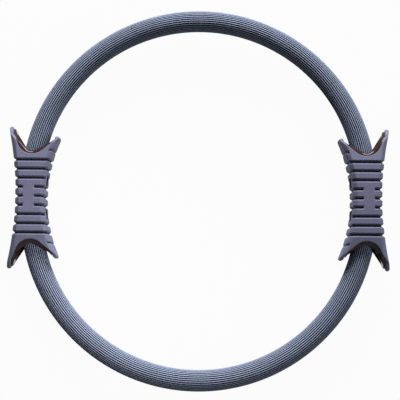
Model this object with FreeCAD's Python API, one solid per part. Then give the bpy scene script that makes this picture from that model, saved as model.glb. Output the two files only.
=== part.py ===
import FreeCAD, Part
import math
import os
from FreeCAD import Vector

# Pilates ring, lying flat: two springy half hoops held at their ends by two padded handles.
# Every piece is drawn about the middle of the left handle: X towards the middle of the ring,
# Y along the handle, Z out of the ring's plane. It is then moved, and mirrored where it repeats.

# Hoop line: each half is a semicircle on two short straight legs, which end inside the handles.
HOOP_RADIUS = 167.5
HOOP_LEG = 13.3

# Fibreglass rods, bundled as a triangle.
ROD_DIAMETER = 4.2
ROD_GAP = 0.25
ROD_NAMES = ("outer", "front", "back")

# Steel ferrule on each end of a half hoop.
FERRULE_START = 8.0
FERRULE_WALL = 1.15
FERRULE_BORE_GAP = 0.2
BOLT_FROM_END = 8.6
BOLT_TO_RODS = 6.4
ROD_INSERTION = 15.0

# Foam sleeve over the rods, fluted lengthwise.
SLEEVE_BORE_GAP = 0.25
SLEEVE_WALL = 5.78
SLEEVE_END_GAP = 0.3
FLUTE_COUNT = 32
FLUTE_DEPTH = 0.7

# Handle walls, from the hoop outwards.
FERRULE_SEAT_GAP = 0.3
SLEEVE_SEAT_GAP = 0.3
OUTER_WALL = 4.5
INNER_WALL = 4.5
FACE_WALL = 3.35
SKIN_FIT = 0.15
SKIN = 3.5
LINER_WALL = 2.35
LINER_SPLIT = 0.1

# Handle outline: both sides are hollow arcs, and the corners are bevelled.
OUTER_SIDE_RADIUS = 290.0
INNER_SIDE_RADIUS = 142.0
HOLLOW_CORNER = 0.5

# Mouth at each end of the handle, where the hoop enters between two rounded wings.
SLEEVE_TUCK = 3.0
COLLAR = 1.6
MOUTH_GAP = 1.7
MOUTH_SHIFT = 1.3
MOUTH_LEAN_DEGREES = 9.4
MOUTH_SLOPE_DEGREES = 40.0
LIP = 3.1
LIP_BEVEL_RUN = 2.0
LIP_BEVEL_DEPTH = 2.0
OUTER_WING = 28.2
INNER_WING = 22.7
WING_SWELL = 3.0
LINER_SETBACK = 2.0

# Grooves round the grip, with a plain column down the front and the back, shifted outwards.
GROOVES_PER_END = 4
SHORT_GROOVES_PER_END = 1
END_BAND = 6.44
GROOVE_DEPTH = 2.2
GROOVE_FLOOR = 1.2
GROOVE_BEVEL = 1.1
COLUMN_WIDTH = 11.0
COLUMN_SHIFT = 1.0

# Fine line across the inner face of each inner wing.
LINE_FROM_MOUTH = 3.4
LINE_DEPTH = 1.0
LINE_FLOOR = 0.8
LINE_BEVEL = 0.2

# Cross bolts, which are reached through windows in the inner face, and their nuts.
WINDOW_LENGTH = 10.0
WINDOW_DEPTH = 11.0
WINDOW_FRAME = 5.5
POCKET_MARGIN = 0.3
BOLT_DIAMETER = 4.0
BOLT_HOLE_GAP = 0.25
HEAD_DIAMETER = 7.6
HEAD_HEIGHT = 2.2
HEAD_ROUND = 1.0
HEAD_SEAT_WALL = 2.2
SOCKET_WIDTH = 2.5
SOCKET_DEPTH = 1.3
NUT_WIDTH = 7.0
NUT_HEIGHT = 2.2
NUT_BEVEL = 0.3
NUT_SEAT_WALL = 1.3
NUT_POCKET_GAP = 0.1
THREAD_GAP = 0.05
BOLT_PROUD = 0.2

# One overrun serves all cuts.
OVERRUN = 1.0

# Sizes that follow from those above.
ROD_OFFSET = (ROD_DIAMETER + ROD_GAP) / math.sqrt(3)
BUNDLE_RADIUS = ROD_OFFSET + ROD_DIAMETER / 2
FERRULE_BORE = BUNDLE_RADIUS + FERRULE_BORE_GAP
FERRULE_RADIUS = FERRULE_BORE + FERRULE_WALL
FERRULE_SEAT = FERRULE_RADIUS + FERRULE_SEAT_GAP
SLEEVE_BORE = BUNDLE_RADIUS + SLEEVE_BORE_GAP
SLEEVE_RADIUS = SLEEVE_BORE + SLEEVE_WALL
SLEEVE_SEAT = SLEEVE_RADIUS + SLEEVE_SEAT_GAP

BOLT_HEIGHT = FERRULE_START + BOLT_FROM_END
ROD_START = BOLT_HEIGHT + BOLT_TO_RODS
FERRULE_END = ROD_START + ROD_INSERTION
SLEEVE_START = FERRULE_END + SLEEVE_END_GAP
HOLLOW_START = FERRULE_END + SLEEVE_TUCK
MOUTH_BOTTOM = HOLLOW_START + COLLAR
REACH = MOUTH_BOTTOM + max(OUTER_WING, INNER_WING) + OVERRUN

LINER_INSET = SKIN + SKIN_FIT
HOLLOW_INSET = LINER_INSET + LINER_WALL
OUTER_WAIST = FERRULE_SEAT + OUTER_WALL + LINER_INSET
INNER_WAIST = FERRULE_SEAT + INNER_WALL + LINER_INSET
HALF_DEPTH = SLEEVE_SEAT + FACE_WALL + LINER_INSET

LIP_RADIUS = SLEEVE_RADIUS + MOUTH_GAP
MOUTH_RADIUS = LIP_RADIUS + LIP
GROOVE_PITCH = (MOUTH_BOTTOM - END_BAND) / GROOVES_PER_END
LINE_HEIGHT = MOUTH_BOTTOM + LINE_FROM_MOUTH

HEAD_SEAT = FERRULE_SEAT + HEAD_SEAT_WALL
NUT_SEAT = -FERRULE_SEAT - NUT_SEAT_WALL
BOLT_TIP = NUT_SEAT - NUT_HEIGHT - BOLT_PROUD
BOLT_HOLE = BOLT_DIAMETER / 2 + BOLT_HOLE_GAP

ORIGIN = Vector(0, 0, 0)
ACROSS = Vector(1, 0, 0)
ALONG = Vector(0, 1, 0)
HOOP_CENTRE = Vector(HOOP_RADIUS, HOOP_LEG, 0)
HOOP_TURN = Vector(0, 0, -1)
RING_PLACE = Vector(-HOOP_RADIUS, 0, HALF_DEPTH)


def both_ends(shape):
    """The shape and its mirror image at the other end of the handle."""
    return [shape, shape.mirror(ORIGIN, ALONG)]


def slab(low, high):
    """Block right across the handle between two heights."""
    return Part.makeBox(2 * REACH, high - low, 2 * REACH, Vector(-REACH, low, -REACH))


def hoop_angle(height):
    """Turn along the hoop, in degrees, where its line reaches a height above the leg."""
    return math.degrees(math.asin((height - HOOP_LEG) / HOOP_RADIUS))


def along_hoop(profile, start, last_angle):
    """Run a flat profile along the hoop from a height on its leg or arc to an angle of the arc."""
    first_angle = max(hoop_angle(start), 0)
    on_arc = profile.translated(ALONG * HOOP_LEG).rotated(HOOP_CENTRE, HOOP_TURN, first_angle)
    body = on_arc.revolve(HOOP_CENTRE, HOOP_TURN, last_angle - first_angle)
    if start < HOOP_LEG:
        leg = profile.translated(ALONG * start).extrude(ALONG * (HOOP_LEG - start))
        body = leg.fuse(body).removeSplitter()
    return body


def across_leg(radius, degrees):
    """Point about the leg's axis, at a radius and a turn from the ring's inner side."""
    turn = math.radians(degrees)
    return Vector(radius * math.cos(turn), 0, radius * math.sin(turn))


def disc(radius, centre=ORIGIN):
    return Part.Face(Part.Wire(Part.makeCircle(radius, centre, ALONG)))


def rod(index):
    """Springy round rod of the bundle, from inside one ferrule to inside the other."""
    angle = 180 - 360 * index / len(ROD_NAMES)
    profile = disc(ROD_DIAMETER / 2, across_leg(ROD_OFFSET, angle))
    return along_hoop(profile, ROD_START, 180 - hoop_angle(ROD_START))


def sleeve():
    """Foam tube whose outside is a row of small round ridges."""
    pitch = 360 / FLUTE_COUNT
    valley = SLEEVE_RADIUS - FLUTE_DEPTH
    ridges = []
    for index in range(FLUTE_COUNT):
        first = across_leg(valley, index * pitch)
        crest = across_leg(SLEEVE_RADIUS, (index + 1 / 2) * pitch)
        last = across_leg(valley, (index + 1) * pitch)
        ridges.append(Part.Arc(first, crest, last).toShape())
    profile = Part.Face(Part.Wire(ridges)).cut(disc(SLEEVE_BORE)).Faces[0]
    return along_hoop(profile, SLEEVE_START, 180 - hoop_angle(SLEEVE_START))


def bolt_hole():
    """Round hole right across the handle, on the upper bolt's axis."""
    return Part.makeCylinder(BOLT_HOLE, 2 * REACH, Vector(-REACH, BOLT_HEIGHT, 0), ACROSS)


def ferrule():
    """Steel tube that gathers the rod ends, drilled across for its bolt."""
    profile = disc(FERRULE_RADIUS).cut(disc(FERRULE_BORE)).Faces[0]
    tube = along_hoop(profile, FERRULE_START, hoop_angle(FERRULE_END))
    return tube.cut(bolt_hole())


def outer_edge(height, inset):
    """Place of the handle's outer side at a height, moved inwards by an inset."""
    return math.sqrt((OUTER_SIDE_RADIUS + inset) ** 2 - height ** 2) - OUTER_SIDE_RADIUS - OUTER_WAIST


def inner_edge(height, inset):
    """Place of the handle's inner side at a height, moved inwards by an inset."""
    return INNER_WAIST + INNER_SIDE_RADIUS - math.sqrt((INNER_SIDE_RADIUS + inset) ** 2 - height ** 2)


def corner(inset):
    """Bevel of the handle's corners, which keeps its walls even as the inset grows."""
    return HOLLOW_CORNER + (HOLLOW_INSET - inset) * (2 - math.sqrt(2))


def envelope(inset):
    """Plain handle with hollow sides and bevelled corners, smaller all round by the inset."""
    depth = HALF_DEPTH - inset
    outer = [Vector(outer_edge(height, inset), height, -depth) for height in (-REACH, 0, REACH)]
    inner = [Vector(inner_edge(height, inset), height, -depth) for height in (REACH, 0, -REACH)]
    outline = Part.Wire([
        Part.Arc(*outer).toShape(),
        Part.makeLine(outer[-1], inner[0]),
        Part.Arc(*inner).toShape(),
        Part.makeLine(inner[-1], outer[0]),
    ])
    body = Part.Face(outline).extrude(Vector(0, 0, 2 * depth))
    long_edges = [edge for edge in body.Edges if edge.BoundBox.YLength > REACH]
    return body.makeChamfer(corner(inset), long_edges)


def section(height, inset):
    """Eight-sided outline of the handle at a height."""
    outer = outer_edge(height, inset)
    inner = inner_edge(height, inset)
    depth = HALF_DEPTH - inset
    bevel = corner(inset)
    points = [
        Vector(outer + bevel, height, -depth),
        Vector(inner - bevel, height, -depth),
        Vector(inner, height, bevel - depth),
        Vector(inner, height, depth - bevel),
        Vector(inner - bevel, height, depth),
        Vector(outer + bevel, height, depth),
        Vector(outer, height, depth - bevel),
        Vector(outer, height, bevel - depth),
    ]
    return Part.makePolygon(points + points[:1])


def groove(height, depth, floor, bevel):
    """Ring that cuts a groove with a flat floor and bevelled walls round the handle."""
    run = floor / 2 + bevel * (depth + OVERRUN) / depth
    rows = [(-run, -OVERRUN), (-floor / 2, depth), (floor / 2, depth), (run, -OVERRUN)]
    spool = Part.makeLoft([section(height + step, inset) for step, inset in rows], True, True)
    return slab(height - run, height + run).cut(spool)


def grip_grooves():
    """Grooves of the grip: the middle ones skip the column, the next ones the window frames."""
    column_start = Vector(-COLUMN_SHIFT - COLUMN_WIDTH / 2, -REACH, -REACH)
    column = Part.makeBox(COLUMN_WIDTH, 2 * REACH, 2 * REACH, column_start)
    frame_depth = WINDOW_DEPTH + 2 * WINDOW_FRAME
    frame = Part.makeBox(REACH, 2 * REACH, frame_depth, Vector(0, -REACH, -frame_depth / 2))
    rings = []
    for index in range(-GROOVES_PER_END, GROOVES_PER_END + 1):
        ring = groove(index * GROOVE_PITCH, GROOVE_DEPTH, GROOVE_FLOOR, GROOVE_BEVEL)
        if abs(index) <= SHORT_GROOVES_PER_END:
            ring = ring.cut(column)
        if abs(index) == SHORT_GROOVES_PER_END + 1:
            ring = ring.cut(frame)
        rings.append(ring)
    return rings


def wing_lines():
    """Fine grooves across the inner faces of the two inner wings."""
    inner_face = inner_edge(LINE_HEIGHT, 0) - corner(0)
    outer_side = Part.makeBox(REACH + inner_face, 2 * REACH, 2 * REACH, Vector(-REACH, 0, -REACH))
    ring = groove(LINE_HEIGHT, LINE_DEPTH, LINE_FLOOR, LINE_BEVEL)
    return both_ends(ring.cut(outer_side))


def mouth_outline(radius, depth):
    """Closed outline of a mouth: a round bottom between an upright outer and a sloping inner side."""
    centre = Vector(MOUTH_SHIFT, MOUTH_BOTTOM + MOUTH_RADIUS, depth)
    lean = math.radians(180 + MOUTH_LEAN_DEGREES)
    slope = math.radians(MOUTH_SLOPE_DEGREES - 90)
    outer = centre + Vector(math.cos(lean), math.sin(lean), 0) * radius
    bottom = centre - ALONG * radius
    inner = centre + Vector(math.cos(slope), math.sin(slope), 0) * radius
    top = 2 * REACH
    outer_top = Vector(outer.x + (top - outer.y) / math.tan(lean + math.pi / 2), top, depth)
    inner_top = Vector(inner.x + (top - inner.y) / math.tan(slope + math.pi / 2), top, depth)
    return Part.Wire([
        Part.makeLine(outer_top, outer),
        Part.Arc(outer, bottom, inner).toShape(),
        Part.makeLine(inner, inner_top),
        Part.makeLine(inner_top, outer_top),
    ])


def mouth(radius):
    """Cut right through the front and the back of a handle end."""
    return Part.Face(mouth_outline(radius, -REACH)).extrude(Vector(0, 0, 2 * REACH))


def lip_bevels():
    """Cuts that slope the edges of the liner's upper mouth, at the front and the back."""
    surface = HALF_DEPTH - LINER_INSET
    spread = LIP_BEVEL_RUN * (LIP_BEVEL_DEPTH + OVERRUN) / LIP_BEVEL_DEPTH
    wide = mouth_outline(LIP_RADIUS + spread, surface + OVERRUN)
    narrow = mouth_outline(LIP_RADIUS, surface - LIP_BEVEL_DEPTH)
    front = Part.makeLoft([narrow, wide], True, True)
    return [front, front.mirror(ORIGIN, HOOP_TURN)]


def wing_cut(length, half_depth, side):
    """What is cut away, on one side of the handle, to round the end of its upper wing."""
    centre = Vector(0, MOUTH_BOTTOM, 0)
    axes = sorted([Vector(0, length, 0), Vector(0, 0, half_depth)], key=lambda axis: axis.Length)
    rim = Part.Ellipse(centre + axes[1], centre + axes[0], centre).toShape()
    tongue = Part.Face(Part.Wire(rim)).extrude(ACROSS * side * REACH)
    block = Part.makeBox(REACH, REACH, 2 * REACH, Vector(min(side, 0) * REACH, MOUTH_BOTTOM, -REACH))
    return block.cut(tongue)


def wing_cuts(setback):
    """Rounded ends of both wings at both ends, shorter by a setback."""
    half_depth = HALF_DEPTH + WING_SWELL - setback
    outer = wing_cut(OUTER_WING - setback, half_depth, -1)
    inner = wing_cut(INNER_WING - setback, half_depth, 1)
    return both_ends(outer) + both_ends(inner)


def window(length, depth, start):
    """Rectangular recess that opens to the inner side, about the upper bolt's axis."""
    return Part.makeBox(2 * REACH, length, depth, Vector(start, BOLT_HEIGHT - length / 2, -depth / 2))


def grip():
    """Soft skin of one handle."""
    cuts = grip_grooves() + wing_lines() + wing_cuts(0)
    cuts += both_ends(mouth(MOUTH_RADIUS))
    cuts += both_ends(window(WINDOW_LENGTH, WINDOW_DEPTH, 0))
    return envelope(0).cut(cuts + [envelope(SKIN)])


def hexagon(width, start, end):
    """Six-sided prism between two places on the upper bolt's axis."""
    radius = width / math.sqrt(3)
    turns = [math.radians(60 * index) for index in range(7)]
    points = [Vector(start, BOLT_HEIGHT + radius * math.cos(turn), radius * math.sin(turn)) for turn in turns]
    return Part.Face(Part.makePolygon(points)).extrude(ACROSS * (end - start))


def hoop_seats():
    """Room for the upper hoop end: a bore for the ferrule and a wider one for the sleeve."""
    past_mouth = hoop_angle(REACH)
    ferrule_seat = along_hoop(disc(FERRULE_SEAT), FERRULE_START - FERRULE_SEAT_GAP, past_mouth)
    sleeve_seat = along_hoop(disc(SLEEVE_SEAT), FERRULE_END, past_mouth)
    return [ferrule_seat, sleeve_seat]


def liner():
    """Hard core of one handle, before it is split."""
    upper_cuts = hoop_seats() + lip_bevels()
    upper_cuts.append(mouth(LIP_RADIUS))
    upper_cuts.append(bolt_hole())
    upper_cuts.append(window(WINDOW_LENGTH - 2 * POCKET_MARGIN, WINDOW_DEPTH - 2 * POCKET_MARGIN, HEAD_SEAT))
    upper_cuts.append(hexagon(NUT_WIDTH + 2 * NUT_POCKET_GAP, -REACH, NUT_SEAT))
    cuts = wing_cuts(LINER_SETBACK)
    for cut in upper_cuts:
        cuts += both_ends(cut)
    hollow = envelope(HOLLOW_INSET).cut(slab(-HOLLOW_START, HOLLOW_START))
    return envelope(LINER_INSET).cut(cuts + [hollow])


def liner_halves():
    """Outer and inner half of the liner, which close round the hoop ends."""
    whole = liner()
    outer = Part.makeBox(REACH, 2 * REACH, 2 * REACH, Vector(-REACH - LINER_SPLIT / 2, -REACH, -REACH))
    inner = Part.makeBox(REACH, 2 * REACH, 2 * REACH, Vector(LINER_SPLIT / 2, -REACH, -REACH))
    return {"outer_liner": whole.common(outer), "inner_liner": whole.common(inner)}


def bolt():
    """Round-headed bolt with a six-sided socket, through the liner and the upper ferrule."""
    shank = Part.makeCylinder(BOLT_DIAMETER / 2, HEAD_SEAT - BOLT_TIP, Vector(BOLT_TIP, BOLT_HEIGHT, 0), ACROSS)
    head = Part.makeCylinder(HEAD_DIAMETER / 2, HEAD_HEIGHT, Vector(HEAD_SEAT, BOLT_HEIGHT, 0), ACROSS)
    crown = HEAD_SEAT + HEAD_HEIGHT
    head = head.makeFillet(HEAD_ROUND, [edge for edge in head.Edges if edge.BoundBox.XMin > HEAD_SEAT])
    socket = hexagon(SOCKET_WIDTH, crown - SOCKET_DEPTH, crown + OVERRUN)
    return shank.fuse(head).cut(socket)


def nut():
    """Thin six-sided nut on the upper bolt, with its corners turned down."""
    outside = NUT_SEAT - NUT_HEIGHT
    base = Vector(outside, BOLT_HEIGHT, 0)
    turned = Part.makeCylinder(NUT_WIDTH / math.sqrt(3), NUT_HEIGHT, base, ACROSS)
    rims = [edge for edge in turned.Edges if edge.BoundBox.XLength < NUT_HEIGHT / 2]
    blank = hexagon(NUT_WIDTH, outside, NUT_SEAT).common(turned.makeChamfer(NUT_BEVEL, rims))
    thread = Part.makeCylinder(BOLT_DIAMETER / 2 + THREAD_GAP, NUT_HEIGHT, base, ACROSS)
    return blank.cut(thread)


def save(node, shape, right=False, lower=False):
    """Move a piece to its place in the ring, mirror it if it belongs there, and write it."""
    placed = shape.translated(RING_PLACE)
    if right:
        placed = placed.mirror(ORIGIN, ACROSS)
    if lower:
        placed = placed.mirror(ORIGIN, ALONG)
    placed.Solids[0].exportStep("parts/" + node + ".step")


os.makedirs("parts", exist_ok=True)
SIDES = {"left": False, "right": True}
HALVES = {"upper": False, "lower": True}

foam = sleeve()
rods = {name: rod(index) for index, name in enumerate(ROD_NAMES)}
for half, lower in HALVES.items():
    save(half + "_sleeve", foam, lower=lower)
    for name, shape in rods.items():
        save(half + "_" + name + "_rod", shape, lower=lower)

end_pieces = {"ferrule": ferrule()}
fixings = {"bolt": bolt(), "nut": nut()}
handle_pieces = {"grip": grip(), **liner_halves()}
for side, right in SIDES.items():
    for name, shape in handle_pieces.items():
        save(side + "_" + name, shape, right=right)
    for half, lower in HALVES.items():
        for name, shape in end_pieces.items():
            save(half + "_" + side + "_" + name, shape, right=right, lower=lower)
        for name, shape in fixings.items():
            save(side + "_" + half + "_" + name, shape, right=right, lower=lower)
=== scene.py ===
import bmesh
import bpy
import math
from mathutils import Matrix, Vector


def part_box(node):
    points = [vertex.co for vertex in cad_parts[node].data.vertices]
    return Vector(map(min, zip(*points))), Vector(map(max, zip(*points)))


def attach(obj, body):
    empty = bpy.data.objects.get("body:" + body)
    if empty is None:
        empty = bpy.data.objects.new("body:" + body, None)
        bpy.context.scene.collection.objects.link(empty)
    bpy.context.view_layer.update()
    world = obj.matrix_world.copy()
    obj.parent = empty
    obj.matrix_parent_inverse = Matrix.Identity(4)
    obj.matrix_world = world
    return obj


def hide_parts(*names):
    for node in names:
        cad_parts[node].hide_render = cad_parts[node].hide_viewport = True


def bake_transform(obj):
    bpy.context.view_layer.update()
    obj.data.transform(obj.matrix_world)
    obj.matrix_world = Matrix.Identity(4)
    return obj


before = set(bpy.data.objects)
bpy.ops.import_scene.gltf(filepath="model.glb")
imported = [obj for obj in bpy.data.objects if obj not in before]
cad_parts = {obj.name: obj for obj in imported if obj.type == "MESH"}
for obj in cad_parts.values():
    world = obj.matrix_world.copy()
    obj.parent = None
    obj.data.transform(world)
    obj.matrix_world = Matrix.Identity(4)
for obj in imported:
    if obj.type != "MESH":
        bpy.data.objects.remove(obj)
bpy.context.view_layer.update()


# Fibreglass rods: three pultruded rods, bundled in a triangle, are the springs of each half hoop.
# They run from handle to handle inside the foam. Each half is modelled as a left and a right
# quarter, each running from the handle that clamps it to the hoop's free middle.

SIDES = {"left": -1, "right": 1}
HALVES = {"upper": 1, "lower": -1}
ROD_NAMES = ("outer", "front", "back")

hoop_radius = 0.1675
hoop_steps = 84
flute_count = 32
sleeve_low, sleeve_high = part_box("upper_sleeve")
ring_height = (sleeve_low.z + sleeve_high.z) / 2
sleeve_reach = sleeve_high.z - ring_height
sleeve_radius = sleeve_reach / math.cos(math.pi / flute_count)
hoop_leg = sleeve_high.y - sleeve_reach - hoop_radius

rod_low, rod_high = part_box("upper_outer_rod")
rod_radius = (rod_high.z - rod_low.z) / 2
rod_offset = rod_high.y - rod_radius - hoop_leg - hoop_radius
rod_start = 0.023
rod_sides = 20
rod_smooth_angle = math.radians(40)
middle_gap = 0.00002
rod_dark = (0.50, 0.47, 0.36, 1)
rod_light = (0.66, 0.62, 0.50, 1)


def deselect():
    bpy.ops.object.select_all(action="DESELECT")


def pick(piece, kind, test):
    """Select the verts, edges or faces of the piece being edited that pass a test."""
    bpy.ops.mesh.select_mode(type={"verts": "VERT", "edges": "EDGE", "faces": "FACE"}[kind])
    bpy.ops.mesh.select_all(action="DESELECT")
    mesh = bmesh.from_edit_mesh(piece.data)
    for part in getattr(mesh, kind):
        if test(part):
            part.select_set(True)
    mesh.select_flush_mode()
    bmesh.update_edit_mesh(piece.data)


def add_loop(points, radius, half, outwards=0, upwards=0):
    """Circle across the hoop's line at the middle of one half, moved off the line if asked."""
    height = half * (hoop_leg + hoop_radius + outwards)
    bpy.ops.mesh.primitive_circle_add(
        vertices=points, radius=radius, location=(0, height, ring_height + upwards),
        rotation=(0, math.pi / 2, 0))
    bpy.ops.object.transform_apply(location=True, rotation=True, scale=True)
    return bpy.context.object


def join(loops, name):
    deselect()
    for loop in loops:
        loop.select_set(True)
    bpy.context.view_layer.objects.active = loops[0]
    bpy.ops.object.join()
    loops[0].name = name
    return loops[0]


def run_to_handle(piece, half, side, start):
    """Spin the loops of a piece from the hoop's middle to the height where they start in a handle."""
    turn = math.pi / 2 - math.asin((start - hoop_leg) / hoop_radius)
    bpy.ops.object.mode_set(mode="EDIT")
    bpy.ops.mesh.select_all(action="SELECT")
    bpy.ops.mesh.spin(
        steps=hoop_steps, angle=turn, center=(0, half * hoop_leg, ring_height), axis=(0, 0, side * half))


def bend_with_hoop(piece, side_name):
    """Bake a quarter's placement into its mesh, the same way for either side."""
    if side_name == "left":
        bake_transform(piece)
    else:
        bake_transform(piece)


def grain_group():
    """Fine and broad cloudy variation, shared by every moulded, drawn or foamed surface."""
    group = bpy.data.node_groups.new("surface_grain", "ShaderNodeTree")
    group.interface.new_socket("Fine Scale", in_out="INPUT", socket_type="NodeSocketFloat")
    group.interface.new_socket("Broad Scale", in_out="INPUT", socket_type="NodeSocketFloat")
    group.interface.new_socket("Fine", in_out="OUTPUT", socket_type="NodeSocketFloat")
    group.interface.new_socket("Broad", in_out="OUTPUT", socket_type="NodeSocketFloat")
    values = group.nodes.new("NodeGroupInput")
    results = group.nodes.new("NodeGroupOutput")
    place = group.nodes.new("ShaderNodeTexCoord")
    for name, detail in (("Fine", 2), ("Broad", 4)):
        noise = group.nodes.new("ShaderNodeTexNoise")
        noise.inputs["Detail"].default_value = detail
        group.links.new(place.outputs["Object"], noise.inputs["Vector"])
        group.links.new(values.outputs[name + " Scale"], noise.inputs["Scale"])
        group.links.new(noise.outputs["Fac"], results.inputs[name])
    return group


surface_grain = grain_group()


def grained(name, dark, light, fine, broad, roughness, grain_depth, specular, metallic=0):
    """Material whose colour, gloss and surface vary with the shared grain."""
    material = bpy.data.materials.new(name)
    material.use_nodes = True
    nodes = material.node_tree.nodes
    links = material.node_tree.links
    shader = nodes["Principled BSDF"]
    shader.inputs["Metallic"].default_value = metallic
    shader.inputs["Specular IOR Level"].default_value = specular
    grain = nodes.new("ShaderNodeGroup")
    grain.name = "Grain"
    grain.node_tree = surface_grain
    grain.inputs["Fine Scale"].default_value = fine
    grain.inputs["Broad Scale"].default_value = broad
    colour = nodes.new("ShaderNodeMix")
    colour.name = "Colour"
    colour.data_type = "RGBA"
    colour.inputs["A"].default_value = dark
    colour.inputs["B"].default_value = light
    gloss = nodes.new("ShaderNodeMapRange")
    gloss.inputs["To Min"].default_value = roughness[0]
    gloss.inputs["To Max"].default_value = roughness[1]
    bump = nodes.new("ShaderNodeBump")
    bump.name = "Bump"
    bump.inputs["Strength"].default_value = 1
    bump.inputs["Distance"].default_value = grain_depth
    links.new(grain.outputs["Broad"], colour.inputs["Factor"])
    links.new(colour.outputs["Result"], shader.inputs["Base Color"])
    links.new(grain.outputs["Fine"], gloss.inputs["Value"])
    links.new(gloss.outputs["Result"], shader.inputs["Roughness"])
    links.new(grain.outputs["Fine"], bump.inputs["Height"])
    links.new(bump.outputs["Normal"], shader.inputs["Normal"])
    return material


def dress(piece, material):
    """Give a new piece its finish."""
    piece.data.materials.clear()
    piece.data.materials.append(material)


fibreglass = grained(
    "fibreglass", rod_dark, rod_light, fine=1800, broad=260, roughness=(0.35, 0.55),
    grain_depth=0.00003, specular=0.5)
for half_name, half in HALVES.items():
    for side_name, side in SIDES.items():
        deselect()
        loops = []
        for index in range(len(ROD_NAMES)):
            turn = 2 * math.pi * index / len(ROD_NAMES)
            loops.append(add_loop(
                rod_sides, rod_radius, half, rod_offset * math.cos(turn), rod_offset * math.sin(turn)))
        rods = join(loops, half_name + "_" + side_name + "_rods")
        run_to_handle(rods, half, side, rod_start)
        bpy.ops.mesh.fill()
        pick(rods, "edges", lambda edge: all(abs(vert.co.x) < middle_gap for vert in edge.verts))
        bpy.ops.mesh.fill()
        bpy.ops.mesh.select_all(action="SELECT")
        bpy.ops.mesh.normals_make_consistent(inside=False)
        bpy.ops.object.mode_set(mode="OBJECT")
        bpy.ops.object.shade_smooth_by_angle(angle=rod_smooth_angle)
        dress(rods, fibreglass)
        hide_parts(*[half_name + "_" + rod_name + "_rod" for rod_name in ROD_NAMES])
        bend_with_hoop(rods, side_name)


# Ferrules: short tubes of zinc-plated steel pressed over the rod ends and drilled across for a bolt.
# They sit inside the handles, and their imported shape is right, so only their finish is made here.

zinc_dark = (0.40, 0.41, 0.42, 1)
zinc_light = (0.58, 0.59, 0.61, 1)
zinc = grained(
    "zinc_plate", zinc_dark, zinc_light, fine=1400, broad=180, roughness=(0.28, 0.45),
    grain_depth=0.00002, specular=0.5, metallic=1)


def finish_node(name, material):
    """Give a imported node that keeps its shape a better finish."""
    for material_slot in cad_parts[name].material_slots:
        material_slot.material = material


for half_name in HALVES:
    for side_name in SIDES:
        finish_node(half_name + "_" + side_name + "_ferrule", zinc)


# Foam sleeves: closed-cell foam tubes, extruded with fine round ridges along their length, are
# pulled over the rods before the handles go on. The ends tuck into the handles' mouths.

sleeve_bore = 0.00492
sleeve_start = 0.0383
flute_depth = 0.0009
flute_steps = 6
flute_smooth_angle = math.radians(60)
foam_dark = (0.117, 0.137, 0.190, 1)
foam_light = (0.150, 0.173, 0.236, 1)
# valley_level, valley_shade and the ridge value paint shade into the flutes' valleys and a painted
# highlight onto their crests, on top of the flutes' real shape.
valley_level = 0.5
valley_shade = 0.08
ridge_painted_highlight = 2.2


def flute_attribute(piece, half):
    """Store how high each point stands on its ridge, from 0 in a valley to 1 on a crest."""
    crest = piece.data.attributes.new("crest", "FLOAT", "POINT")
    for vert in piece.data.vertices:
        outwards = math.hypot(vert.co.x, vert.co.y - half * hoop_leg) - hoop_radius
        reach = math.hypot(outwards, vert.co.z - ring_height)
        crest.data[vert.index].value = min(max(1 - (sleeve_radius - reach) / flute_depth, 0), 1)


def shade_hollows(material, level, lowest, highest):
    """Multiply a material's colour by the crest attribute mapped from a level up: painted shade in the
    hollows, and a painted highlight on the crests where highest is over one.
    """
    nodes = material.node_tree.nodes
    links = material.node_tree.links
    crest = nodes.new("ShaderNodeAttribute")
    crest.attribute_name = "crest"
    depth = nodes.new("ShaderNodeMapRange")
    depth.inputs["From Min"].default_value = level
    depth.inputs["To Min"].default_value = lowest
    depth.inputs["To Max"].default_value = highest
    shade = nodes.new("ShaderNodeMix")
    shade.data_type = "RGBA"
    shade.blend_type = "MULTIPLY"
    shade.inputs["Factor"].default_value = 1
    links.new(crest.outputs["Fac"], depth.inputs["Value"])
    links.new(nodes["Colour"].outputs["Result"], shade.inputs["A"])
    links.new(depth.outputs["Result"], shade.inputs["B"])
    links.new(shade.outputs["Result"], nodes["Principled BSDF"].inputs["Base Color"])


foam = grained(
    "fluted_foam", foam_dark, foam_light, fine=2600, broad=90, roughness=(0.42, 0.6),
    grain_depth=0.00006, specular=0)
shade_hollows(foam, valley_level, valley_shade, ridge_painted_highlight)
for half_name, half in HALVES.items():
    hoop_middle = (0, half * (hoop_leg + hoop_radius), ring_height)
    for side_name, side in SIDES.items():
        deselect()
        outside = add_loop(flute_count * flute_steps, sleeve_radius, half)
        bpy.ops.object.mode_set(mode="EDIT")
        for step in range(flute_steps):
            ridge = math.sin(math.pi * step / flute_steps)
            shrink = 1 - flute_depth * (1 - ridge) / sleeve_radius
            pick(outside, "verts", lambda vert: vert.index % flute_steps == step)
            bpy.ops.transform.resize(value=(shrink, shrink, shrink), center_override=hoop_middle)
        bpy.ops.object.mode_set(mode="OBJECT")
        deselect()
        bore = add_loop(flute_count * flute_steps, sleeve_bore, half)
        sleeve = join([outside, bore], half_name + "_" + side_name + "_sleeve")
        run_to_handle(sleeve, half, side, sleeve_start)
        bpy.ops.mesh.bridge_edge_loops()
        pick(sleeve, "edges", lambda edge: all(abs(vert.co.x) < middle_gap for vert in edge.verts))
        bpy.ops.mesh.bridge_edge_loops()
        bpy.ops.mesh.select_all(action="SELECT")
        bpy.ops.mesh.normals_make_consistent(inside=False)
        bpy.ops.object.mode_set(mode="OBJECT")
        bpy.ops.object.shade_smooth_by_angle(angle=flute_smooth_angle)
        flute_attribute(sleeve, half)
        dress(sleeve, foam)
        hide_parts(half_name + "_sleeve")
        bend_with_hoop(sleeve, side_name)


# Liner halves: hard dark-brown plastic shells, moulded with a polished face, are bolted together
# round the hoop ends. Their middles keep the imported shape; the linings of the four mouths, whose
# rolled lips show as a glossy band between hoop and grip, are modelled here as one shell each.

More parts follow.
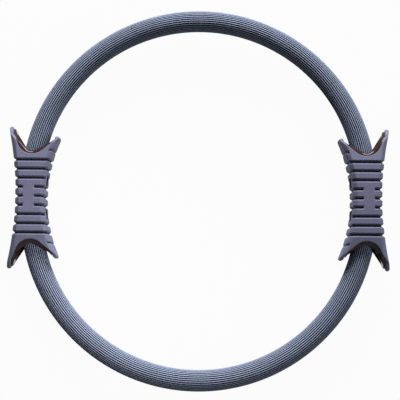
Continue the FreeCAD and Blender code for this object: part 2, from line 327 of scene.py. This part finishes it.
grip_low, grip_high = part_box("left_grip")
half_depth = (grip_high.z - grip_low.z) / 2
handle_place = -hoop_radius
outer_waist = 0.01447
inner_waist = 0.01447
outer_side_radius = 0.290
inner_side_radius = 0.142
corner = 0.00401
pad_outer = 0.0065
pad_inner = 0.0045
face_crown = 0.05
end_slope = 0.09

mouth_bottom = 0.0426
mouth_radius = 0.0155
mouth_shift = 0.0013
mouth_lean = math.radians(9.4)
mouth_slope = math.radians(40)
outer_wing = 0.0285
inner_wing = 0.0230
wing_half_depth = half_depth + 0.003
end_zone = 0.0384
end_height = mouth_bottom + outer_wing
even_stretch = 0.0425
rim_step = 0.00005
rim_land = 0.0013
rim_blend = 0.004

liner_trim = 0.0415
liner_merge_gap = 0.000002
liner_smooth_angle = math.radians(30)
lining_start = 0.0412
lining_inset = 0.0036
lining_wall = 0.0024
lining_setback = 0.0018
rim_evening = 0.0035
place_digits = 6
lip_front = 0.0010
lip_back = 0.0031
lining_rows = 8
lining_columns = 12
lining_layers = 10
lining_facets = 12
lining_front_rounding = 0.0024
lining_back_rounding = 0.0058
liner_dark = (0.020, 0.0085, 0.009, 1)
liner_light = (0.040, 0.018, 0.018, 1)


def even_steps(low, high, count):
    """Places that divide a stretch evenly, without its ends."""
    return [low + (high - low) * step / count for step in range(1, count)]


def section_corner(inset):
    """Width of the handle's cut corners, at a depth below its skin."""
    return corner - inset * (2 - math.sqrt(2))


def flared(across, height, inset):
    """Place across the handle, with its hollow sides, of a point of the straight-sided blank."""
    ease = min(max((height - end_zone) / (even_stretch - end_zone), 0), 1)
    if across < mouth_shift:
        front_edge = outer_waist - inset - section_corner(inset)
        still = pad_outer + ease * (-mouth_shift - pad_outer)
        share = min(max((-across - still) / (front_edge - still), 0), 1)
        return across - share * (outer_side_radius - math.sqrt(outer_side_radius ** 2 - height ** 2))
    front_edge = inner_waist - inset - section_corner(inset)
    still = pad_inner + ease * (mouth_shift - pad_inner)
    share = min(max((across - still) / (front_edge - still), 0), 1)
    return across + share * (inner_side_radius - math.sqrt(inner_side_radius ** 2 - height ** 2))


def crowned(place, height):
    """Place through the handle, whose front and back fall off a little towards its ends."""
    end_fall = end_slope * max(height - end_zone, 0) / half_depth
    crown_fall = face_crown * (height / mouth_bottom) ** 2
    return ring_height + (place - ring_height) * (1 - crown_fall - end_fall)


def mouth_edge(across, lip):
    """Height of the mouth's edge: a round bottom between an upright and a sloping side."""
    radius = mouth_radius - lip
    from_middle = across - mouth_shift
    middle = mouth_bottom + mouth_radius
    if from_middle < -radius * math.cos(mouth_lean):
        beyond = -radius * math.cos(mouth_lean) - from_middle
        return middle - radius * math.sin(mouth_lean) + beyond / math.tan(mouth_lean)
    if from_middle > radius * math.sin(mouth_slope):
        beyond = from_middle - radius * math.sin(mouth_slope)
        return middle - radius * math.cos(mouth_slope) + beyond * math.tan(mouth_slope)
    return middle - math.sqrt(radius ** 2 - from_middle ** 2)


def wing_edge(across, depth, setback):
    """Height of a wing's rounded end at a depth from the middle of the handle."""
    wing = outer_wing if across < mouth_shift else inner_wing
    reach = depth / (wing_half_depth - setback)
    return mouth_bottom + (wing - setback) * math.sqrt(1 - reach ** 2)


def rim_height(across, depth, inset=0, lip=0, setback=0):
    """Height at which a lengthwise line of the blank meets the rim of the handle's end."""
    wing = wing_edge(across, depth, setback)
    height = end_zone
    while True:
        mouth = mouth_edge(flared(across, height, inset), lip)
        overlap = max(rim_blend - abs(mouth - wing), 0)
        if height > min(mouth, wing) - overlap ** 2 / (4 * rim_blend):
            return height
        height += rim_step


def row_height(start, rim, row, rows):
    """Height of a row of points that leaves a narrow land below the rim."""
    if row == rows:
        return rim
    return start + (rim - rim_land - start) * row / (rows - 1)


def cut(place, direction):
    """Cut right through the piece being edited, leaving all of it."""
    bpy.ops.mesh.select_all(action="SELECT")
    bpy.ops.mesh.bisect(plane_co=place, plane_no=direction)


def handle_blank(inset, low, high, rounding, facets=1):
    """Straight open tube with the handle's section, moved in from its skin, with rounded corners."""
    deselect()
    width = outer_waist + inner_waist - 2 * inset
    middle = handle_place + (inner_waist - outer_waist) / 2
    bpy.ops.mesh.primitive_cube_add(
        size=1, location=(middle, (low + high) / 2, ring_height),
        scale=(width, high - low, 2 * (half_depth - inset)))
    bpy.ops.object.transform_apply(location=True, rotation=True, scale=True)
    blank = bpy.context.object
    bpy.ops.object.mode_set(mode="EDIT")
    pick(blank, "edges", lambda edge: abs(edge.verts[0].co.y - edge.verts[1].co.y) > (high - low) / 2)
    bpy.ops.mesh.bevel(offset=rounding, offset_type="OFFSET", segments=facets, affect="EDGES")
    pick(blank, "faces", lambda face: len({round(vert.co.y, 5) for vert in face.verts}) == 1)
    bpy.ops.mesh.delete(type="ONLY_FACE")
    return blank


def lining_rim(face, inset, lip, setback):
    """Rim height over each lengthwise line of a lining's face, evened out along the rim."""
    rim = {}
    for vert in face.data.vertices:
        across = round(vert.co.x - handle_place, place_digits)
        place = (across, round(vert.co.z - ring_height, place_digits))
        if place not in rim:
            rim[place] = rim_height(*place, inset, lip, setback)
    round_rim = sorted(rim, key=lambda place: math.atan2(place[1], place[0]))
    widths = {}
    for index, place in enumerate(round_rim):
        after = round_rim[(index + 1) % len(round_rim)]
        widths[place] = math.dist(round_rim[index - 1], place) + math.dist(place, after)
    evened = {}
    for place in round_rim:
        shares = {other: widths[other] * math.exp(-(math.dist(place, other) / rim_evening) ** 2)
                  for other in round_rim}
        evened[place] = sum(shares[other] * rim[other] for other in round_rim) / sum(shares.values())
    return evened


def lining_face(inset, lip, setback, rounding):
    """One face of a mouth's lining: the handle's section at a depth, brought up to its own rim."""
    face = handle_blank(inset, lining_start, end_height, rounding, lining_facets)
    outer_edge = outer_waist - inset - rounding
    inner_edge = inner_waist - inset - rounding
    side_edge = half_depth - inset - rounding
    for height in even_steps(lining_start, end_height, lining_rows):
        cut((0, height, 0), (0, 1, 0))
    for across in even_steps(-outer_edge, inner_edge, lining_columns):
        cut((handle_place + across, 0, 0), (1, 0, 0))
    for layer in even_steps(-side_edge, side_edge, lining_layers):
        cut((0, 0, ring_height + layer), (0, 0, 1))
    bpy.ops.object.mode_set(mode="OBJECT")
    rim = lining_rim(face, inset, lip, setback)
    for vert in face.data.vertices:
        across = vert.co.x - handle_place
        row = round((vert.co.y - lining_start) / (end_height - lining_start) * lining_rows)
        rim_here = rim[round(across, place_digits), round(vert.co.z - ring_height, place_digits)]
        vert.co.y = row_height(lining_start, rim_here, row, lining_rows)
        vert.co.x = handle_place + flared(across, vert.co.y, inset)
        vert.co.z = crowned(vert.co.z, vert.co.y)
    return face


def apply_modifier(piece, name, kind, **settings):
    deselect()
    piece.select_set(True)
    bpy.context.view_layer.objects.active = piece
    modifier = piece.modifiers.new(name, kind)
    for key, value in settings.items():
        setattr(modifier, key, value)
    bpy.ops.object.modifier_apply(modifier=name)


def mirrored(piece, name, turn):
    """Mirror image of a finished piece about the middle of the ring."""
    deselect()
    piece.select_set(True)
    bpy.context.view_layer.objects.active = piece
    bpy.ops.object.duplicate()
    image = bpy.context.object
    image.name = name
    bpy.ops.object.mode_set(mode="EDIT")
    bpy.ops.mesh.select_all(action="SELECT")
    bpy.ops.transform.resize(value=turn, center_override=(0, 0, 0))
    bpy.ops.mesh.flip_normals()
    bpy.ops.object.mode_set(mode="OBJECT")
    return image


def liner_middle(node_name):
    """Copy of a packed liner half, without the walls that line the mouths."""
    deselect()
    middle = bpy.data.objects.new(node_name + "_shell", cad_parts[node_name].data.copy())
    bpy.context.scene.collection.objects.link(middle)
    middle.select_set(True)
    bpy.context.view_layer.objects.active = middle
    bpy.ops.object.mode_set(mode="EDIT")
    bpy.ops.mesh.select_all(action="SELECT")
    bpy.ops.mesh.remove_doubles(threshold=liner_merge_gap)
    for end in HALVES.values():
        bpy.ops.mesh.select_all(action="SELECT")
        bpy.ops.mesh.bisect(
            plane_co=(0, end * liner_trim, 0), plane_no=(0, end, 0), use_fill=True, clear_outer=True)
    bpy.ops.object.mode_set(mode="OBJECT")
    bpy.ops.object.shade_smooth_by_angle(angle=liner_smooth_angle)
    return middle


liner_brown = grained(
    "polished_liner", liner_dark, liner_light, fine=900, broad=70, roughness=(0.05, 0.11),
    grain_depth=0.000005, specular=0.14)
for side_name in SIDES:
    for place_name in ("outer", "inner"):
        node_name = side_name + "_" + place_name + "_liner"
        middle = liner_middle(node_name)
        dress(middle, liner_brown)
        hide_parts(node_name)
        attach(middle, side_name + "_handle")

lining = join(
    [lining_face(lining_inset, lip_front, lining_setback, lining_front_rounding),
     lining_face(lining_inset + lining_wall, lip_back, lining_setback, lining_back_rounding)],
    "left_upper_lining")
bpy.ops.object.mode_set(mode="EDIT")
lining_mesh = bmesh.from_edit_mesh(lining.data)
lining_mesh.verts.ensure_lookup_table()
face_points = len(lining_mesh.verts) // 2
for edge in [edge for edge in lining_mesh.edges if edge.is_boundary]:
    if edge.verts[0].index < face_points:
        across_wall = [lining_mesh.verts[vert.index + face_points] for vert in reversed(edge.verts)]
        lining_mesh.faces.new([*edge.verts, *across_wall])
bmesh.update_edit_mesh(lining.data)
bpy.ops.mesh.select_all(action="SELECT")
bpy.ops.mesh.normals_make_consistent(inside=False)
bpy.ops.object.mode_set(mode="OBJECT")
apply_modifier(lining, "rolled_lip", "SUBSURF", levels=2, render_levels=2)
bpy.ops.object.shade_smooth()
linings = {
    ("left", "upper"): lining,
    ("left", "lower"): mirrored(lining, "left_lower_lining", (1, -1, 1)),
    ("right", "upper"): mirrored(lining, "right_upper_lining", (-1, 1, 1)),
}
linings["right", "lower"] = mirrored(linings["right", "upper"], "right_lower_lining", (1, -1, 1))
for (side_name, half_name), lining in linings.items():
    dress(lining, liner_brown)
    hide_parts(side_name + "_outer_liner", side_name + "_inner_liner")
    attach(lining, side_name + "_handle")


# Cross bolts and nuts: black-oxide steel, reached through the windows in the handle's inner face.
# Each pins a ferrule and pulls the two liner halves together.

oxide_dark = (0.020, 0.020, 0.022, 1)
oxide_light = (0.050, 0.050, 0.054, 1)
black_oxide = grained(
    "black_oxide", oxide_dark, oxide_light, fine=1600, broad=300, roughness=(0.3, 0.5),
    grain_depth=0.00002, specular=0.5, metallic=1)
for side_name in SIDES:
    for half_name in HALVES:
        finish_node(side_name + "_" + half_name + "_bolt", black_oxide)
        finish_node(side_name + "_" + half_name + "_nut", black_oxide)


# Grips: one-piece skins of soft matte rubber, moulded over each handle with cross ribs, a plain
# pad down the front and the back, and two flared wings at each end that guide the hoop in.

skin = 0.0035
groove_pitch = 0.00904
grooves_per_end = 4
last_pad_groove = 1
frame_groove = 2
groove_floor = 0.00055
groove_wall = 0.00085
groove_shoulder = end_zone - grooves_per_end * groove_pitch
shoulder_depth = 0.0011
wall_depth = 0.0013
groove_end_run = 0.0008
shoulder_crease = 1
rib_smooth_angle = math.radians(24)
frame_half_depth = 0.011
window_height = 0.0166
window_half_length = 0.00485
window_half_depth = 0.0055
window_edge = 0.0003
pad_columns = 9
outer_columns = 4
inner_columns = 7
end_rows = 8
corner_layers = 3

line_height = 0.046
line_floor = 0.0004
line_edge = 0.0007
line_depth = 0.0009
line_start = 0.0425
line_rows = (line_start, line_height - line_edge, line_height - line_floor,
             line_height + line_floor, line_height + line_edge)
line_floor_rows = (3, 4)
near = 0.0001

grip_dark = (0.114, 0.120, 0.182, 1)
grip_light = (0.140, 0.147, 0.220, 1)
# The groove and wall values are painted shade: groove floors, groove walls, window walls and the wings'
# fine line are darkened in colour.
groove_shade = 0.05
wall_shade = 0.5


def grip_row_height(across, depth, row):
    """Height of a row of points of the end zone, which follows the rim and the wing's fine line."""
    rim = rim_height(across, depth)
    if across < inner_waist - corner + near:
        return row_height(end_zone, rim, row, end_rows)
    if row <= len(line_rows):
        return line_rows[row - 1]
    return row_height(line_rows[-1], rim, row - len(line_rows), end_rows - len(line_rows))


def in_window(place, margin=0):
    """Whether a point of the handle's inner side lies in one of its two windows."""
    return (place.x > handle_place + inner_waist - near
            and abs(abs(place.y) - window_height) < window_half_length + margin
            and abs(place.z - ring_height) < window_half_depth + margin)


def grip_blank():
    """Open tube, cut into the rows and columns that the grip's features need."""
    blank = handle_blank(0, -end_height, end_height, corner)
    rows = []
    for index in range(-grooves_per_end, grooves_per_end + 1):
        for step in (groove_floor, groove_wall, groove_shoulder):
            rows += [index * groove_pitch - step, index * groove_pitch + step]
    for end in HALVES.values():
        for reach in (window_half_length, window_half_length + window_edge):
            rows += [end * (window_height - reach), end * (window_height + reach)]
        rows += even_steps(end * end_zone, end * end_height, end_rows)
    for height in rows:
        cut((0, height, 0), (0, 1, 0))

    outer_end = -pad_outer - groove_end_run
    inner_end = pad_inner + groove_end_run
    columns = [-pad_outer, outer_end, pad_inner, inner_end]
    columns += even_steps(-pad_outer, pad_inner, pad_columns)
    columns += even_steps(corner - outer_waist, outer_end, outer_columns)
    columns += even_steps(inner_end, inner_waist - corner, inner_columns)
    for across in columns:
        cut((handle_place + across, 0, 0), (1, 0, 0))

    layers = [window_half_depth / 3, window_half_depth, window_half_depth + window_edge,
              (window_half_depth + frame_half_depth) / 2, frame_half_depth,
              frame_half_depth + groove_end_run]
    layers += even_steps(half_depth - corner, half_depth, corner_layers + 1)
    for layer in layers:
        for end in HALVES.values():
            cut((0, 0, ring_height + end * layer), (0, 0, 1))

    pick(blank, "faces", lambda face: in_window(face.calc_center_median()))
    bpy.ops.mesh.delete(type="FACE")
    bpy.ops.object.mode_set(mode="OBJECT")
    return blank


def pressed_points(blank):
    """Points of the blank on the ribs' shoulders, in a groove, on its floor and on a fine line."""
    shoulders = set()
    grooves = set()
    floors = set()
    lines = set()
    for vert in blank.data.vertices:
        across = vert.co.x - handle_place
        height = abs(vert.co.y)
        depth = abs(vert.co.z - ring_height)
        index = round(height / groove_pitch)
        from_groove = abs(height - index * groove_pitch)
        on_column = depth > half_depth - near and -pad_outer - near < across < pad_inner + near
        on_pad = index <= last_pad_groove and on_column
        on_inner_side = across > inner_waist - near and depth < frame_half_depth + near
        on_frame = index == frame_groove and on_inner_side
        if index <= grooves_per_end and not on_pad and not on_frame:
            if abs(from_groove - groove_shoulder) < near:
                shoulders.add(vert.index)
            if from_groove < groove_wall + near:
                grooves.add(vert.index)
            if from_groove < groove_floor + near:
                floors.add(vert.index)
        row = round((height - end_zone) / (end_height - end_zone) * end_rows)
        if across > inner_waist - corner + near and row in line_floor_rows:
            lines.add(vert.index)
    return shoulders, grooves, floors, lines


def shape_ends(blank):
    """Flare the sides of the blank and bring its two ends to the rim of the mouths and wings."""
    for vert in blank.data.vertices:
        across = vert.co.x - handle_place
        height = abs(vert.co.y)
        if height > end_zone + near:
            row = round((height - end_zone) / (end_height - end_zone) * end_rows)
            height = grip_row_height(across, vert.co.z - ring_height, row)
        vert.co.x = handle_place + flared(across, height, 0)
        vert.co.y = math.copysign(height, vert.co.y)
        vert.co.z = crowned(vert.co.z, height)


def press_in(piece, points, depth):
    """Push chosen points of the outer surface into the skin."""
    bpy.ops.object.mode_set(mode="EDIT")
    pick(piece, "verts", lambda vert: vert.index in points)
    bpy.ops.transform.shrink_fatten(value=-depth, use_even_offset=True)
    bpy.ops.object.mode_set(mode="OBJECT")


left_grip = grip_blank()
left_grip.name = "left_grip_skin"
shoulders, grooves, floors, lines = pressed_points(left_grip)
# Painted shade: groove walls get the wall value, and groove floors, the wings' fine line and the
# windows' walls are made dark.
crest = left_grip.data.attributes.new("crest", "FLOAT", "POINT")
for vert in left_grip.data.vertices:
    in_groove = wall_shade if vert.index in grooves else 1
    in_painted_shade = vert.index in floors | lines or in_window(vert.co, near)
    crest.data[vert.index].value = 0 if in_painted_shade else in_groove
shape_ends(left_grip)
apply_modifier(
    left_grip, "wall", "SOLIDIFY", thickness=skin, offset=-1, use_even_offset=True, use_rim=True)
press_in(left_grip, grooves, shoulder_depth)
press_in(left_grip, floors, wall_depth)
press_in(left_grip, lines, line_depth)
bpy.ops.object.mode_set(mode="EDIT")
pick(left_grip, "edges", lambda edge: all(vert.index in shoulders for vert in edge.verts))
bpy.ops.transform.edge_crease(value=shoulder_crease)
bpy.ops.object.mode_set(mode="OBJECT")
apply_modifier(left_grip, "moulded_edges", "SUBSURF", levels=1, render_levels=1)
bpy.ops.object.shade_smooth_by_angle(angle=rib_smooth_angle)
right_grip = mirrored(left_grip, "right_grip_skin", (-1, 1, 1))

grip_rubber = grained(
    "grip_rubber", grip_dark, grip_light, fine=2200, broad=60, roughness=(0.52, 0.66),
    grain_depth=0.00003, specular=0.1)
shade_hollows(grip_rubber, 0, groove_shade, 1)
for side_name, grip in (("left", left_grip), ("right", right_grip)):
    dress(grip, grip_rubber)
    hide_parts(side_name + "_grip")
    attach(grip, side_name + "_handle")


# Studio: the ring lies on a plain white floor under soft light that comes low from its upper half,
# and the camera looks down on it, leaning a little towards its lower half.

camera_distance = 1.203
camera_lean = math.radians(5.3)
camera_roll = math.radians(0.45)
camera_aim = (0.0021, -0.0013, ring_height)
camera_lens = 108
camera_sensor = 36
floor_size = 8
floor_gap = 0.0003
floor_white = 0.96
floor_grey = (0.25, 0.25, 0.25, 1)
floor_roughness = 0.8
room_colour = (1, 1, 1, 1)
room_strength = 0.08
key_power = 66
key_size = (1.3, 0.6)
key_place = Vector((0.08, 1.45, 0.48))
fill_power = 0.21
fill_size = (0.16, 0.16)
fill_place = Vector((-0.065, -0.07, 0.16))
fill_aim = Vector((-0.13, -0.14, ring_height))
side_power = 1.6
side_size = (0.1, 0.1)
side_place = Vector((0.7, -0.3, 0.5))
ring_middle = Vector((0, 0, ring_height))


def backdrop_share(tree):
    """One for what the camera or a mirror sees, nought for what lights the object."""
    light_path = tree.nodes.new("ShaderNodeLightPath")
    glossy = tree.nodes.new("ShaderNodeMath")
    glossy.operation = "MAXIMUM"
    clear = tree.nodes.new("ShaderNodeMath")
    clear.operation = "MAXIMUM"
    tree.links.new(light_path.outputs["Is Camera Ray"], glossy.inputs[0])
    tree.links.new(light_path.outputs["Is Glossy Ray"], glossy.inputs[1])
    tree.links.new(glossy.outputs["Value"], clear.inputs[0])
    tree.links.new(light_path.outputs["Is Transmission Ray"], clear.inputs[1])
    return clear.outputs["Value"]


deselect()
bpy.ops.mesh.primitive_plane_add(size=floor_size, location=(0, 0, -floor_gap))
floor = bpy.context.object
floor.name = "studio_floor"
bpy.ops.object.transform_apply(location=True, rotation=True, scale=True)
floor_paint = bpy.data.materials.new("floor_paint")
floor_paint.use_nodes = True
floor_tree = floor_paint.node_tree
floor_tree.nodes["Principled BSDF"].inputs["Base Color"].default_value = floor_grey
floor_tree.nodes["Principled BSDF"].inputs["Roughness"].default_value = floor_roughness
floor_glow = floor_tree.nodes.new("ShaderNodeEmission")
floor_mix = floor_tree.nodes.new("ShaderNodeMixShader")
floor_share = floor_tree.nodes.new("ShaderNodeMath")
floor_share.operation = "MULTIPLY"
floor_share.inputs[1].default_value = floor_white
floor_tree.links.new(backdrop_share(floor_tree), floor_share.inputs[0])
floor_tree.links.new(floor_share.outputs["Value"], floor_mix.inputs["Fac"])
floor_tree.links.new(floor_tree.nodes["Principled BSDF"].outputs["BSDF"], floor_mix.inputs[1])
floor_tree.links.new(floor_glow.outputs["Emission"], floor_mix.inputs[2])
floor_tree.links.new(floor_mix.outputs["Shader"], floor_tree.nodes["Material Output"].inputs["Surface"])
floor.data.materials.append(floor_paint)

room = bpy.data.worlds.new("studio_room")
bpy.context.scene.world = room
room.use_nodes = True
room_tree = room.node_tree
room_light = room_tree.nodes["Background"]
room_light.inputs["Color"].default_value = room_colour
room_level = room_tree.nodes.new("ShaderNodeMapRange")
room_level.inputs["To Min"].default_value = room_strength
room_level.inputs["To Max"].default_value = 1
room_tree.links.new(backdrop_share(room_tree), room_level.inputs["Value"])
room_tree.links.new(room_level.outputs["Result"], room_light.inputs["Strength"])


def soft_lamp(name, place, aim, power, size):
    """Lamp panel that faces a point of the ring and isn't seen itself."""
    bpy.ops.object.light_add(
        type="AREA", location=place, rotation=(aim - place).to_track_quat("-Z", "Y").to_euler())
    lamp = bpy.context.object
    lamp.name = name
    lamp.data.energy = power
    lamp.data.shape = "RECTANGLE"
    lamp.data.size, lamp.data.size_y = size
    lamp.visible_camera = False


soft_lamp("key_light", key_place, ring_middle, key_power, key_size)
soft_lamp("fill_light", fill_place, fill_aim, fill_power, fill_size)
soft_lamp("side_light", side_place, ring_middle, side_power, side_size)

camera = bpy.data.objects.new("camera", bpy.data.cameras.new("camera"))
bpy.context.scene.collection.objects.link(camera)
camera.data.lens = camera_lens
camera.data.sensor_width = camera_sensor
camera.data.clip_end = floor_size
camera.location = (
    camera_aim[0],
    camera_aim[1] - camera_distance * math.sin(camera_lean),
    camera_aim[2] + camera_distance * math.cos(camera_lean))
camera.rotation_euler = (camera_lean, 0, camera_roll)
bpy.context.scene.camera = camera
bpy.context.scene.view_settings.view_transform = "Standard"
